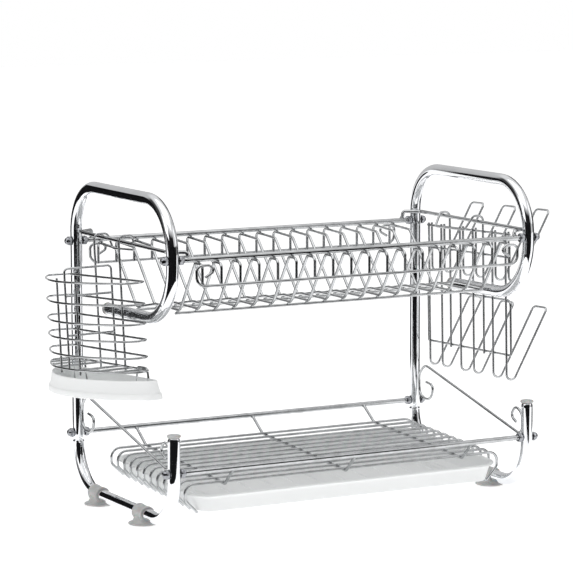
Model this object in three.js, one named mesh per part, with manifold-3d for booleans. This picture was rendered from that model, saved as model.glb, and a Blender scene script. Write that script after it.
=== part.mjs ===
// Two-tier chrome dish drying rack. Units are millimetres, +Z is up, the counter is z = 0,
// +X runs along the rack and -Y is its front.
import * as THREE from 'three';
import { mergeVertices } from 'three/addons/utils/BufferGeometryUtils.js';
import Module from 'manifold-3d';

const wasm = await Module();
wasm.setup();

const DEG = Math.PI / 180;
const CLEARANCE = 0.3; // between pieces that touch
const WELD = 0.6; // how far welded wires sink into each other
const OVERRUN = 2; // how far a cutter runs past the face it cuts

// Side frames: bent round tube, one upper loop and one lower J on each side.
const TUBE_RADIUS = 6.35;
const TUBE_WALL = 1;
const TUBE_SIDES = 12;
const TUBE_BORE = TUBE_RADIUS - TUBE_WALL;
const SIDE_X = 206.5; // tube plane
const SIDE_Y = 115; // uprights and front faces of the loops
const TOP_Z = 331.5; // centreline of the top handle bar
const ARM_Z = 213; // centreline of the loop's lower arm
const FRONT_BEND = 54;
const ARM_BEND = 58.5;
const REAR_BEND = 50;
const ARM_END_Y = 36;
const ARM_DROOP = 3.5;
const FLOOR_BAR_Z = 11; // centreline of the bar between the feet
const LOWER_FRONT_BEND = 45;
const LOWER_REAR_BEND = 48;
const STUB_TOP_Z = 100;
const JOINT_Z = 61.5; // where the lower tube plugs into the upper one
const PLUG_RADIUS = 4.9;
const PLUG_WALL = 1.2;
const PLUG_LENGTH = 20;
const BEND_STEP = 24 * DEG;

// Rails that tie the side frames together, with a threaded stud at each end.
const UPPER_FRONT_Z = 275;
const UPPER_REAR_Z = 272;
const LOWER_FRONT_Z = 63.5;
const LOWER_REAR_Z = 68.5;
const RAIL_RADIUS = 2.8;
const RAIL_END_X = 194;
const RAIL_SIDES = 8;
const STUD_RADIUS = 2.2;
const STUD_END_X = SIDE_X + TUBE_RADIUS + 4.6;
const STUD_HOLE = 2.8;

// Fasteners.
const NUT_RADIUS = 5.1;
const NUT_THICKNESS = 4.5;
const CAP_NUT_HEX = 3.2;
const CAP_NUT_DOME = 4.1;
const CAP_NUT_BORE_DEPTH = 4.9;

// Wire shelves and hangers.
const WIRE_SIDES = 6;
const PLATE_WIRE_RADIUS = 1.5;
const WIRE_GAP = 2 * PLATE_WIRE_RADIUS + CLEARANCE; // between centrelines of crossing wires
const PLATE_WIRES = 18;
const PLATE_PITCH = 20.93;
const SCROLL_FRONT_Z = 249.5;
const SCROLL_REAR_Z = 245.8;
const PLATE_FRONT_Y = 123;
const TROUGH_FRONT = { y: -67, z: 219 };
const TROUGH_REAR = { y: 24, z: 211.5 };
const END_BAR_RADIUS = 2;
const END_BAR_Z = 282.3;
const GRILLE_WIRES = 12;
const GRILLE_RADIUS = 1.4;
const GRILLE_FRONT_Y = -92.5;
const GRILLE_REAR_Y = 82;
const GRILLE_HALF = 184;
const BEARER_RADIUS = 1.6;
const BEARER_X = 139.7;
const BEARER_FRONT = { y: -94, z: 43.5 };
const BEARER_REAR = { y: 90, z: 51.9 };
const DRAIN_SLOPE = (BEARER_REAR.z - BEARER_FRONT.z) / (BEARER_REAR.y - BEARER_FRONT.y);
const GUARD_RADIUS = 1.5;

// Cutlery basket and its drip cup, hung on the left end bar. The basket is modelled level about
// its own origin, midway between the two hooks on the bar, and hangs low at the rear.
const BASKET_LEAN = -3.9 * DEG;
const BASKET_ROLL = -1 * DEG; // its foot swings in under the bar
const BASKET_Y = 18;
const BASKET_WIRE = 1.2;
const BASKET_DROPS = [-37.6, -59.2, -78.7, -95.1, -111.9, -125.7];
const BASKET_FOOT = -131;
const BASKET_STEP = 2 * BASKET_WIRE - WELD; // between centrelines of welded wires
const BASKET_FACE = -11.8; // flat inner face, from the bar
const BASKET_HALF = 124; // half the chord where the bow would meet the flat face
const BASKET_BULGE = 51.7;
const BASKET_CORNER = 14;
const BASKET_POSTS = [-29, 13]; // uprights on the bow
const DIVIDER_Y = -8;
const ARCH_Y = 76; // feet, either side of the middle
const ARCH_HALF = 16;
const HOOK_SPREAD = 30;
const HOOK_REACH = 9;
const CUP_TOP = -133.5;
const CUP_HEIGHT = 19;
const CUP_WALL = 1.6;
const CUP_FLARE = 4.5;
const CUP_CORNER = 12;
const CUP_SHIFT = -4; // towards the front

// Glass holder, hung on the right end bar.
const GLASS_LEAN = -1.8 * DEG;
const GLASS_Y = 21.5;
const GLASS_WIRE = 1.3;
const GLASS_BACK = 8.5; // long verticals, from the bar
const GLASS_STEP = 2 * GLASS_WIRE - WELD; // between centrelines of welded wires
const GLASS_HALF = 84.5;
const GLASS_TOP = -13;
const GLASS_HOOK_SPREAD = 34;
const PRONG_PITCH = 65.4;
const PRONG_WIDTH = 26.3;
const PRONG_LEAN = 30 * DEG;
const PRONG_RISE = 74;
const PRONG_TURN = 6;
const LOWER_TIER = -169.3;
const UPPER_TIER = -64.3;
const UPPER_CROSS = -37.5;
const PANEL_TOP = -83.5;
const PANEL_FOOT = -142.5;
const PANEL_CORNER = 6;

// Drip tray, slid in from the front along the drain slope.
const TRAY_BASE_HALF = 169.5;
const TRAY_RIM_HALF = 181;
const TRAY_FRONT_Y = -108;
const TRAY_REAR_Y = 92;
const TRAY_HEIGHT = 18.5;
const TRAY_WALL = 1.8;
const TRAY_RIM = 2;
const TRAY_CORNER = 22;
const TRAY_FLOOR_DROP = 27.6; // below the grille wires

const chrome = new THREE.MeshStandardMaterial({ color: 0xc9ccd0, roughness: 0.12, metalness: 1 });
const wire = new THREE.MeshStandardMaterial({ color: 0x9fa3a8, roughness: 0.22, metalness: 1 });
const zinc = new THREE.MeshStandardMaterial({ color: 0x55585c, roughness: 0.3, metalness: 1 });
const foot = new THREE.MeshStandardMaterial({ color: 0xc4c6c5, roughness: 0.55, metalness: 0 });
const milky = new THREE.MeshStandardMaterial({ color: 0xeef0f0, roughness: 0.35, metalness: 0 });

// A path through exactly the stations given, so straight runs cost one step each.
class StationPath extends THREE.Curve {
  constructor(stations) {
    super();
    this.stations = stations;
  }

  getPoint(t, target = new THREE.Vector3()) {
    const last = this.stations.length - 1;
    const at = Math.min(Math.max(t, 0), 1) * last;
    const before = Math.min(Math.floor(at), last - 1);
    return target.lerpVectors(this.stations[before], this.stations[before + 1], at - before);
  }

  getPointAt(u, target) {
    return this.getPoint(u, target);
  }

  getTangentAt(u, target = new THREE.Vector3()) {
    const last = this.stations.length - 1;
    const at = Math.round(u * last);
    const incoming = this.direction(Math.max(at - 1, 0));
    const outgoing = this.direction(Math.min(at, last - 1));
    return target.addVectors(incoming, outgoing).normalize();
  }

  direction(leg) {
    return this.stations[leg + 1].clone().sub(this.stations[leg]).normalize();
  }
}

// Corner points [x, y, z, bend radius] become a path with each corner rounded by an arc.
function bentPath(corners) {
  const points = corners.map(([x, y, z]) => new THREE.Vector3(x, y, z));
  const stations = [points[0]];
  for (let i = 1; i < points.length - 1; i++) {
    const back = points[i - 1].clone().sub(points[i]).normalize();
    const ahead = points[i + 1].clone().sub(points[i]).normalize();
    const turn = Math.PI - back.angleTo(ahead);
    const radius = corners[i][3];
    const middle = back.clone().add(ahead).normalize();
    const centre = points[i].clone().addScaledVector(middle, radius / Math.cos(turn / 2));
    const axis = new THREE.Vector3().crossVectors(ahead, back).normalize();
    const start = points[i].clone().addScaledVector(back, radius * Math.tan(turn / 2)).sub(centre);
    const steps = Math.max(1, Math.ceil(turn / bendStep(radius)));
    for (let k = 0; k <= steps; k++) {
      stations.push(start.clone().applyAxisAngle(axis, (turn * k) / steps).add(centre));
    }
  }
  stations.push(points.at(-1));
  return new StationPath(stations);
}

// Tight wire bends take coarser steps than the wide bends of the tubes.
function bendStep(radius) {
  return radius > 20 ? BEND_STEP : 2 * BEND_STEP;
}

function polygon(radius, sides) {
  const points = [];
  for (let i = 0; i < sides; i++) {
    const angle = ((i + 0.5) / sides) * 2 * Math.PI;
    points.push(new THREE.Vector2(radius * Math.cos(angle), radius * Math.sin(angle)));
  }
  return points;
}

function disc(radius, sides) {
  return new THREE.Shape(polygon(radius, sides));
}

function ring(outer, inner, sides) {
  const shape = disc(outer, sides);
  shape.holes.push(new THREE.Path(polygon(inner, sides).reverse()));
  return shape;
}

function sweep(shape, path) {
  const steps = path.stations.length - 1;
  return solid(new THREE.ExtrudeGeometry(shape, { steps, extrudePath: path, bevelEnabled: false }));
}

// A closed loop of wire: the sides of a sweep whose ends meet, without its end faces.
function loop(radius, stations) {
  const path = new StationPath([...stations, stations[0].clone()]);
  const seam = stations[0].clone().sub(stations.at(-1)).normalize();
  const leaving = stations[1].clone().sub(stations[0]).normalize();
  const tangent = seam.add(leaving).normalize();
  const along = path.getTangentAt.bind(path);
  path.getTangentAt = (u, target = new THREE.Vector3()) =>
    u === 0 || u === 1 ? target.copy(tangent) : along(u, target);
  const steps = stations.length;
  const tube = new THREE.ExtrudeGeometry(disc(radius, WIRE_SIDES), {
    steps,
    extrudePath: path,
    bevelEnabled: false,
  });
  const sides = tube.groups[1];
  const position = tube.attributes.position.array.slice(sides.start * 3, (sides.start + sides.count) * 3);
  const open = new THREE.BufferGeometry();
  open.setAttribute('position', new THREE.BufferAttribute(position, 3));
  return solid(open);
}

// Geometry to a solid that can be joined and cut, and back.
function solid(geometry) {
  const bare = geometry.clone();
  bare.deleteAttribute('normal');
  bare.deleteAttribute('uv');
  const merged = mergeVertices(bare, 1e-3);
  return new wasm.Manifold(
    new wasm.Mesh({
      numProp: 3,
      vertProperties: new Float32Array(merged.attributes.position.array),
      triVerts: new Uint32Array(merged.index.array),
    }),
  );
}

function geometryOf(body) {
  const mesh = body.getMesh();
  const geometry = new THREE.BufferGeometry();
  geometry.setAttribute('position', new THREE.BufferAttribute(mesh.vertProperties, 3));
  geometry.setIndex(new THREE.BufferAttribute(mesh.triVerts, 1));
  geometry.computeVertexNormals();
  return geometry;
}

function joined(bodies) {
  return bodies.reduce((all, body) => all.add(body));
}

function straight(from, to, radius, sides) {
  return sweep(disc(radius, sides), new StationPath([new THREE.Vector3(...from), new THREE.Vector3(...to)]));
}

function bent(corners, radius) {
  return sweep(disc(radius, WIRE_SIDES), bentPath(corners));
}

// A turned piece: profile points [radius, height] spun about an axis through `at`.
function turned(profile, sides, at, rotation = [0, 0, 0]) {
  const points = profile.map(([r, h]) => new THREE.Vector2(r, h));
  const geometry = new THREE.LatheGeometry(points, sides);
  geometry.rotateX(Math.PI / 2);
  geometry.applyMatrix4(new THREE.Matrix4().makeRotationFromEuler(new THREE.Euler(...rotation)));
  geometry.translate(...at);
  return solid(geometry);
}

const rack = new THREE.Group();

function add(name, body, material, parent = rack) {
  const mesh = new THREE.Mesh(geometryOf(body), material);
  mesh.name = name;
  parent.add(mesh);
}

function crossHole(x, y, z) {
  const reach = TUBE_RADIUS + OVERRUN;
  return straight([x - reach, y, z], [x + reach, y, z], STUD_HOLE, RAIL_SIDES);
}

// Upper tube: rear upright, top handle bar, front half-round and lower arm.
function upperTube(x) {
  const path = bentPath([
    [x, SIDE_Y, JOINT_Z + CLEARANCE],
    [x, SIDE_Y, TOP_Z, REAR_BEND],
    [x, -SIDE_Y, TOP_Z, FRONT_BEND],
    [x, -SIDE_Y, ARM_Z, ARM_BEND],
    [x, ARM_END_Y, ARM_Z - ARM_DROOP],
  ]);
  return sweep(ring(TUBE_RADIUS, TUBE_BORE, TUBE_SIDES), path)
    .subtract(crossHole(x, SIDE_Y, LOWER_REAR_Z))
    .subtract(crossHole(x, SIDE_Y, UPPER_REAR_Z))
    .subtract(crossHole(x, -SIDE_Y, UPPER_FRONT_Z));
}

function lowerPath(x) {
  return bentPath([
    [x, SIDE_Y, JOINT_Z],
    [x, SIDE_Y, FLOOR_BAR_Z, LOWER_REAR_BEND],
    [x, -SIDE_Y, FLOOR_BAR_Z, LOWER_FRONT_BEND],
    [x, -SIDE_Y, STUB_TOP_Z],
  ]);
}

// Lower tube: a J from the plug joint, along the counter and up to the front stub.
function lowerTube(x) {
  const plug = turned(
    [
      [PLUG_RADIUS - PLUG_WALL, -OVERRUN],
      [TUBE_BORE + TUBE_WALL / 2, -OVERRUN],
      [TUBE_BORE + TUBE_WALL / 2, -1],
      [PLUG_RADIUS, -1],
      [PLUG_RADIUS, PLUG_LENGTH],
      [PLUG_RADIUS - PLUG_WALL, PLUG_LENGTH],
      [PLUG_RADIUS - PLUG_WALL, -OVERRUN],
    ],
    TUBE_SIDES,
    [x, SIDE_Y, JOINT_Z],
  );
  return sweep(ring(TUBE_RADIUS, TUBE_BORE, TUBE_SIDES), lowerPath(x))
    .add(plug)
    .subtract(crossHole(x, SIDE_Y, LOWER_REAR_Z))
    .subtract(crossHole(x, -SIDE_Y, LOWER_FRONT_Z));
}

// Plastic plug with a domed head; its head faces +Z before it is turned.
function tubeCap(headRadius, at, rotation) {
  const stem = TUBE_BORE - 0.6;
  return turned(
    [
      [0, -8],
      [stem, -8],
      [stem, CLEARANCE],
      [headRadius, CLEARANCE],
      [headRadius, 1.8],
      [headRadius - 1.2, 2.8],
      [0, 3.2],
    ],
    TUBE_SIDES,
    at,
    rotation,
  );
}

// Moulded foot: a clip round the floor bar on a flared pad.
function footPad(x, y) {
  const pad = turned(
    [
      [0, 0],
      [15.5, 0],
      [15.5, 1.4],
      [11.5, 4],
      [8.8, 8],
      [8.4, FLOOR_BAR_Z],
      [0, FLOOR_BAR_Z],
    ],
    16,
    [x, y, 0],
  );
  const clip = straight([x, y - 10, FLOOR_BAR_Z], [x, y + 10, FLOOR_BAR_Z], 8.4, TUBE_SIDES);
  const seat = sweep(disc(TUBE_RADIUS + CLEARANCE, TUBE_SIDES), lowerPath(x));
  return pad.add(clip).subtract(seat);
}

// Hexagon nut, its axis along X.
function hexNut(x, y, z) {
  const hex = ring(NUT_RADIUS, STUD_HOLE, WIRE_SIDES);
  const half = NUT_THICKNESS / 2;
  const path = new StationPath([new THREE.Vector3(x - half, y, z), new THREE.Vector3(x + half, y, z)]);
  return sweep(hex, path);
}

// Domed cap nut on the outside of a tube; side is +1 or -1.
function capNut(side, y, z) {
  const face = SIDE_X + TUBE_RADIUS + CLEARANCE;
  const hex = straight([side * face, y, z], [side * (face + CAP_NUT_HEX), y, z], NUT_RADIUS, WIRE_SIDES);
  const dome = turned(
    [
      [0, 0],
      [CAP_NUT_DOME, 0],
      [CAP_NUT_DOME, CAP_NUT_HEX],
      [CAP_NUT_DOME * 0.8, CAP_NUT_HEX + 2.2],
      [CAP_NUT_DOME * 0.4, CAP_NUT_HEX + 3.3],
      [0, CAP_NUT_HEX + 3.5],
    ],
    TUBE_SIDES,
    [side * face, y, z],
    [0, (side * Math.PI) / 2, 0],
  );
  const bore = straight(
    [side * (face - 1), y, z],
    [side * (face + CAP_NUT_BORE_DEPTH), y, z],
    STUD_HOLE,
    RAIL_SIDES,
  );
  return hex.add(dome).subtract(bore);
}

// Rail with a thinner threaded stud at each end.
function rail(y, z) {
  return straight([-RAIL_END_X, y, z], [RAIL_END_X, y, z], RAIL_RADIUS, RAIL_SIDES).add(
    straight([-STUD_END_X, y, z], [STUD_END_X, y, z], STUD_RADIUS, RAIL_SIDES),
  );
}

// One plate wire, bent in the plane x.
function plateWire(x) {
  const underRail = RAIL_RADIUS + PLATE_WIRE_RADIUS + CLEARANCE;
  const frontTop = UPPER_FRONT_Z - underRail;
  const rearTop = UPPER_REAR_Z - underRail;
  return bent(
    [
      [x, -PLATE_FRONT_Y, SCROLL_FRONT_Z - 1],
      [x, -PLATE_FRONT_Y, frontTop, 5],
      [x, -107.5, frontTop, 5],
      [x, -72.5, TROUGH_FRONT.z, 10],
      [x, -18, TROUGH_FRONT.z, 20],
      [x, 28.5, TROUGH_REAR.z - 1, 8],
      [x, 79.5, rearTop - 1.5, 6],
      [x, SIDE_Y, rearTop, 20],
      [x, PLATE_FRONT_Y, rearTop, 5],
      [x, PLATE_FRONT_Y, SCROLL_REAR_Z - 1],
    ],
    PLATE_WIRE_RADIUS,
  );
}

// The long wire under the plate wires' tips, with a scroll curled up at each end.
function scrollWire(y, z) {
  const curl = (s) => [
    [s * 176.5, y, z + 8.5],
    [s * 166, y, z + 14.5, 3],
    [s * 172, y, z + 20.5, 6],
    [s * 186, y, z + 20, 6],
    [s * 185.5, y, z, 9],
  ];
  return bent([...curl(-1), ...curl(1).reverse()], PLATE_WIRE_RADIUS);
}

// Bar over each end of the shelf that the hangers hook on; both ends turn down to the rails.
function endBar(side) {
  return bent(
    [
      [side * 189, -SIDE_Y, UPPER_FRONT_Z + 1],
      [side * 190, -113.5, END_BAR_Z, 3],
      [side * SIDE_X, -103.5, END_BAR_Z, 6],
      [side * SIDE_X, 103.5, END_BAR_Z, 6],
      [side * 190, 113.5, END_BAR_Z, 3],
      [side * 189, SIDE_Y, UPPER_REAR_Z + 1],
    ],
    END_BAR_RADIUS,
  );
}

// The two upper rails with the end bars welded on top of them.
function upperFrame() {
  return joined([rail(-SIDE_Y, UPPER_FRONT_Z), rail(SIDE_Y, UPPER_REAR_Z), endBar(-1), endBar(1)]);
}

// Long wire across the underside of the plate wires.
function troughWire(under) {
  const half = ((PLATE_WIRES - 1) / 2) * PLATE_PITCH + 3;
  const z = under.z - WIRE_GAP;
  return straight([-half, under.y, z], [half, under.y, z], PLATE_WIRE_RADIUS, WIRE_SIDES);
}

// Height of the grille wires' centrelines at a distance y along the drain slope.
function grilleZ(y) {
  return BEARER_FRONT.z + (y - BEARER_FRONT.y) * DRAIN_SLOPE + BEARER_RADIUS + GRILLE_RADIUS - WELD;
}

// Grille wire along X whose ends curl down and back under to carry the tray.
function grilleWire(y) {
  const z = grilleZ(y);
  const curl = (s) => [
    [s * 170, y, z - 29.5],
    [s * GRILLE_HALF, y, z - 15.5, 7],
    [s * GRILLE_HALF, y, z, 10],
  ];
  return bent([...curl(-1), ...curl(1).reverse()], GRILLE_RADIUS);
}

function bearer(x) {
  return bent(
    [
      [x, -SIDE_Y, LOWER_FRONT_Z],
      [x, BEARER_FRONT.y, BEARER_FRONT.z, 5],
      [x, BEARER_REAR.y, BEARER_REAR.z, 5],
      [x, SIDE_Y, LOWER_REAR_Z],
    ],
    BEARER_RADIUS,
  );
}

function lowerShelf() {
  const pieces = [rail(-SIDE_Y, LOWER_FRONT_Z), rail(SIDE_Y, LOWER_REAR_Z)];
  for (const x of [-BEARER_X, 0, BEARER_X]) {
    pieces.push(bearer(x));
  }
  const pitch = (GRILLE_REAR_Y - GRILLE_FRONT_Y) / (GRILLE_WIRES - 1);
  for (let i = 0; i < GRILLE_WIRES; i++) {
    pieces.push(grilleWire(GRILLE_FRONT_Y + i * pitch));
  }
  return joined(pieces);
}

// Side guard: a sloping wire between the front stub and the rear upright, scrolled at both ends.
function sideGuard(x) {
  return bent(
    [
      [x, -95, 76],
      [x, -84, 81.5, 5],
      [x, -93, 93.5, 8],
      [x, -106.6, 87, 10],
      [x, -106.6, 63, 8],
      [x, -92, 66.8, 4],
      [x, 93, 111.2, 14],
      [x, 105.5, 98.5, 14],
      [x, 104, 73, 12],
      [x, 80, 73, 12],
      [x, 73.5, 90, 6],
      [x, 90, 92],
    ],
    GUARD_RADIUS,
  );
}

// Half-round plan outline: a flat face along Y and a wide arc bulging to -X, corners rounded.
function bowOutline(face, half, bulge, corner, arcSteps) {
  const radius = (half * half + bulge * bulge) / (2 * bulge);
  const centre = face - bulge + radius;
  const inner = radius - corner;
  const cornerX = face - corner;
  const cornerY = Math.sqrt(inner * inner - (cornerX - centre) ** 2);
  const touch = Math.atan2(cornerY, cornerX - centre);
  const points = [];
  for (const side of [1, -1]) {
    const arc = [];
    const steps = 4;
    for (let k = 0; k <= steps; k++) {
      const angle = (touch * k) / steps;
      arc.push([cornerX + corner * Math.cos(angle), side * (cornerY + corner * Math.sin(angle))]);
    }
    points.push(...(side > 0 ? arc : arc.reverse()));
    if (side > 0) {
      for (let k = 1; k < arcSteps; k++) {
        const angle = touch + (2 * (Math.PI - touch) * k) / arcSteps;
        points.push([centre + radius * Math.cos(angle), radius * Math.sin(angle)]);
      }
    }
  }
  return points;
}

function basketRing(drop) {
  const outline = bowOutline(BASKET_FACE, BASKET_HALF, BASKET_BULGE, BASKET_CORNER, 12);
  return loop(BASKET_WIRE, outline.map(([x, y]) => new THREE.Vector3(x, y, drop)));
}

// The hook wire: up the flat face, over the bar, across behind it and back over and down.
function basketHook() {
  const upX = BASKET_FACE + BASKET_STEP;
  const lean = HOOK_SPREAD * Math.sin(-BASKET_LEAN);
  const topZ = END_BAR_RADIUS + BASKET_WIRE + CLEARANCE + lean;
  const half = (s) => [
    [upX, s * HOOK_SPREAD, BASKET_FOOT],
    [upX, s * HOOK_SPREAD, topZ, 6],
    [HOOK_REACH * 0.6, s * HOOK_SPREAD, topZ, 5],
    [HOOK_REACH, s * (HOOK_SPREAD - 4), -10, 4],
  ];
  return bent([...half(-1), ...half(1).reverse()], BASKET_WIRE);
}

function basketUpright(x, y) {
  const top = BASKET_DROPS[0] + 3;
  return straight([x, y, top], [x, y, BASKET_FOOT], BASKET_WIRE, WIRE_SIDES);
}

// Divider across the middle: a wire that rises from the bow, crosses over and drops at the face.
function basketDivider() {
  const bow = BASKET_FACE - BASKET_BULGE + BASKET_STEP;
  const face = BASKET_FACE + BASKET_STEP;
  const top = BASKET_DROPS[0] + 13;
  const foot = BASKET_DROPS.at(-1);
  const bars = [BASKET_DROPS[1] + 7, BASKET_DROPS[3] + 3];
  const frame = bent(
    [
      [bow, DIVIDER_Y, foot],
      [bow, DIVIDER_Y, top, 4],
      [face, DIVIDER_Y, top, 4],
      [face, DIVIDER_Y, foot],
    ],
    BASKET_WIRE,
  );
  return joined([
    frame,
    ...bars.map((z) => straight([bow, DIVIDER_Y, z], [face, DIVIDER_Y, z], BASKET_WIRE, WIRE_SIDES)),
  ]);
}

// Small arches under the last ring that stand in the drip cup.
function basketFoot(x, y) {
  const low = CUP_TOP - CUP_HEIGHT + CUP_WALL + 4;
  const top = BASKET_DROPS.at(-1) + 2;
  return bent(
    [
      [x, y - ARCH_HALF, low],
      [x, y - ARCH_HALF + 5, top, 5],
      [x, y + ARCH_HALF - 5, top, 5],
      [x, y + ARCH_HALF, low],
    ],
    BASKET_WIRE,
  );
}

// Where the bow of a ring lies at a distance y from its middle.
function bowX(y) {
  const radius = (BASKET_HALF ** 2 + BASKET_BULGE ** 2) / (2 * BASKET_BULGE);
  return BASKET_FACE - BASKET_BULGE + radius - Math.sqrt(radius ** 2 - y ** 2);
}

function basketFloorWire(y) {
  const z = BASKET_DROPS.at(-1);
  return straight([bowX(y), y, z], [BASKET_FACE, y, z], BASKET_WIRE, WIRE_SIDES);
}

function cutleryBasket() {
  const pieces = [...BASKET_DROPS.map(basketRing), basketHook(), basketDivider()];
  for (const y of [-78, -52, -26, 26, 52, 78]) {
    pieces.push(basketFloorWire(y));
  }
  for (const y of BASKET_POSTS) {
    pieces.push(basketUpright(bowX(y) + BASKET_STEP, y));
  }
  for (const y of [-ARCH_Y, ARCH_Y]) {
    pieces.push(basketFoot(BASKET_FACE - 1, y));
  }
  return joined(pieces);
}

// Extruded outline whose upper end is drawn in by `inset`, away from the flat face.
function taperedBow(face, half, bulge, corner, height, inset) {
  const outline = bowOutline(face, half, bulge, corner, 14).map(([x, y]) => new THREE.Vector2(x, y));
  const geometry = new THREE.ExtrudeGeometry(new THREE.Shape(outline), { depth: height, bevelEnabled: false });
  const position = geometry.attributes.position;
  for (let i = 0; i < position.count; i++) {
    const rise = position.getZ(i) / height;
    const x = position.getX(i);
    const y = position.getY(i);
    position.setX(i, face + (x - face) * (1 - (rise * inset) / bulge));
    position.setY(i, y * (1 - (rise * inset) / half));
  }
  return geometry;
}

function dripCup() {
  const face = BASKET_FACE + 3.9;
  const half = BASKET_HALF + 8;
  const bulge = BASKET_BULGE + 10;
  const outer = taperedBow(face, half, bulge, CUP_CORNER, CUP_HEIGHT, CUP_FLARE);
  const inner = taperedBow(
    face - CUP_WALL,
    half - CUP_WALL * 2,
    bulge - CUP_WALL * 2,
    CUP_CORNER - 1,
    CUP_HEIGHT,
    CUP_FLARE,
  );
  inner.translate(0, 0, CUP_WALL);
  return solid(outer).subtract(solid(inner)).translate([0, CUP_SHIFT, CUP_TOP - CUP_HEIGHT]);
}

// One glass prong: two U bends side by side whose outer legs rise and join at the tip.
function prong(y, tier, backX) {
  const run = PRONG_TURN * 1.6;
  const top = GLASS_TOP + 3;
  const lean = PRONG_RISE * Math.tan(PRONG_LEAN);
  const half = PRONG_WIDTH / 2;
  const leg = (s) => [
    [backX, y + s * half, top],
    [backX, y + s * half, tier, PRONG_TURN],
    [backX + run, y + s * half, tier, PRONG_TURN],
    [backX + run + lean, y + s * half, tier + PRONG_RISE, 5],
  ];
  return bent([...leg(-1), ...leg(1).reverse()], GLASS_WIRE);
}

function glassHolder() {
  const crossX = GLASS_BACK + GLASS_STEP;
  const frontX = crossX + GLASS_STEP;
  const cross = (z) => straight([crossX, -GLASS_HALF, z], [crossX, GLASS_HALF, z], GLASS_WIRE, WIRE_SIDES);
  const pieces = [GLASS_TOP, UPPER_CROSS, PANEL_FOOT].map(cross);
  pieces.push(
    bent(
      [
        [crossX, -GLASS_HALF, PANEL_FOOT],
        [crossX, -GLASS_HALF, PANEL_TOP, PANEL_CORNER],
        [crossX, GLASS_HALF, PANEL_TOP, PANEL_CORNER],
        [crossX, GLASS_HALF, PANEL_FOOT],
      ],
      GLASS_WIRE,
    ),
  );
  for (const k of [-1, 0, 1]) {
    pieces.push(prong(k * PRONG_PITCH, LOWER_TIER, GLASS_BACK));
    pieces.push(prong(k * PRONG_PITCH, UPPER_TIER, frontX));
  }
  pieces.push(glassHook(GLASS_BACK, PANEL_FOOT - 3));
  return joined(pieces);
}

// The hook wire: two hangers over the bar, joined by a cross piece behind it.
function glassHook(upX, foot) {
  const lean = GLASS_HOOK_SPREAD * Math.sin(-GLASS_LEAN);
  const topZ = END_BAR_RADIUS + GLASS_WIRE + CLEARANCE + lean;
  const half = (s) => [
    [upX, s * GLASS_HOOK_SPREAD, foot],
    [upX, s * GLASS_HOOK_SPREAD, topZ, 6],
    [-3.5, s * GLASS_HOOK_SPREAD, topZ, 4],
    [-12.5, s * (GLASS_HOOK_SPREAD - 4), -10, 3],
  ];
  return bent([...half(-1), ...half(1).reverse()], GLASS_WIRE);
}

// Rounded rectangle, for the tray's outlines.
function roundedRectangle(half, front, rear, corner) {
  const shape = new THREE.Shape();
  shape.moveTo(-half + corner, front);
  shape.lineTo(half - corner, front);
  shape.absarc(half - corner, front + corner, corner, -Math.PI / 2, 0);
  shape.absarc(half - corner, rear - corner, corner, 0, Math.PI / 2);
  shape.absarc(-half + corner, rear - corner, corner, Math.PI / 2, Math.PI);
  shape.absarc(-half + corner, front + corner, corner, Math.PI, 1.5 * Math.PI);
  return shape;
}

// Tray body: a floor outline that widens by `flare` up to the rim.
function trayBlock(baseHalf, front, rear, height, flare) {
  const shape = roundedRectangle(baseHalf, front, rear, TRAY_CORNER);
  const geometry = new THREE.ExtrudeGeometry(shape, { depth: height, bevelEnabled: false, curveSegments: 4 });
  const position = geometry.attributes.position;
  const middle = (front + rear) / 2;
  const depth = (rear - front) / 2;
  for (let i = 0; i < position.count; i++) {
    const rise = position.getZ(i) / height;
    position.setX(i, position.getX(i) * (1 + (rise * flare) / baseHalf));
    position.setY(i, middle + (position.getY(i) - middle) * (1 + (rise * flare * 0.4) / depth));
  }
  return geometry;
}

function dripTray() {
  const wallFlare = TRAY_RIM_HALF - 3.5 - TRAY_BASE_HALF;
  const front = TRAY_FRONT_Y + 4;
  const rear = TRAY_REAR_Y - 4;
  const outer = trayBlock(TRAY_BASE_HALF, front, rear, TRAY_HEIGHT, wallFlare);
  const inner = trayBlock(
    TRAY_BASE_HALF - TRAY_WALL,
    front + TRAY_WALL,
    rear - TRAY_WALL,
    TRAY_HEIGHT,
    wallFlare,
  );
  inner.translate(0, 0, TRAY_WALL);
  const rimShape = roundedRectangle(TRAY_RIM_HALF, TRAY_FRONT_Y, TRAY_REAR_Y, TRAY_CORNER + 3);
  const rim = new THREE.ExtrudeGeometry(rimShape, { depth: TRAY_RIM, bevelEnabled: false, curveSegments: 4 });
  rim.translate(0, 0, TRAY_HEIGHT - TRAY_RIM);
  return solid(outer).add(solid(rim)).subtract(solid(inner));
}

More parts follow.
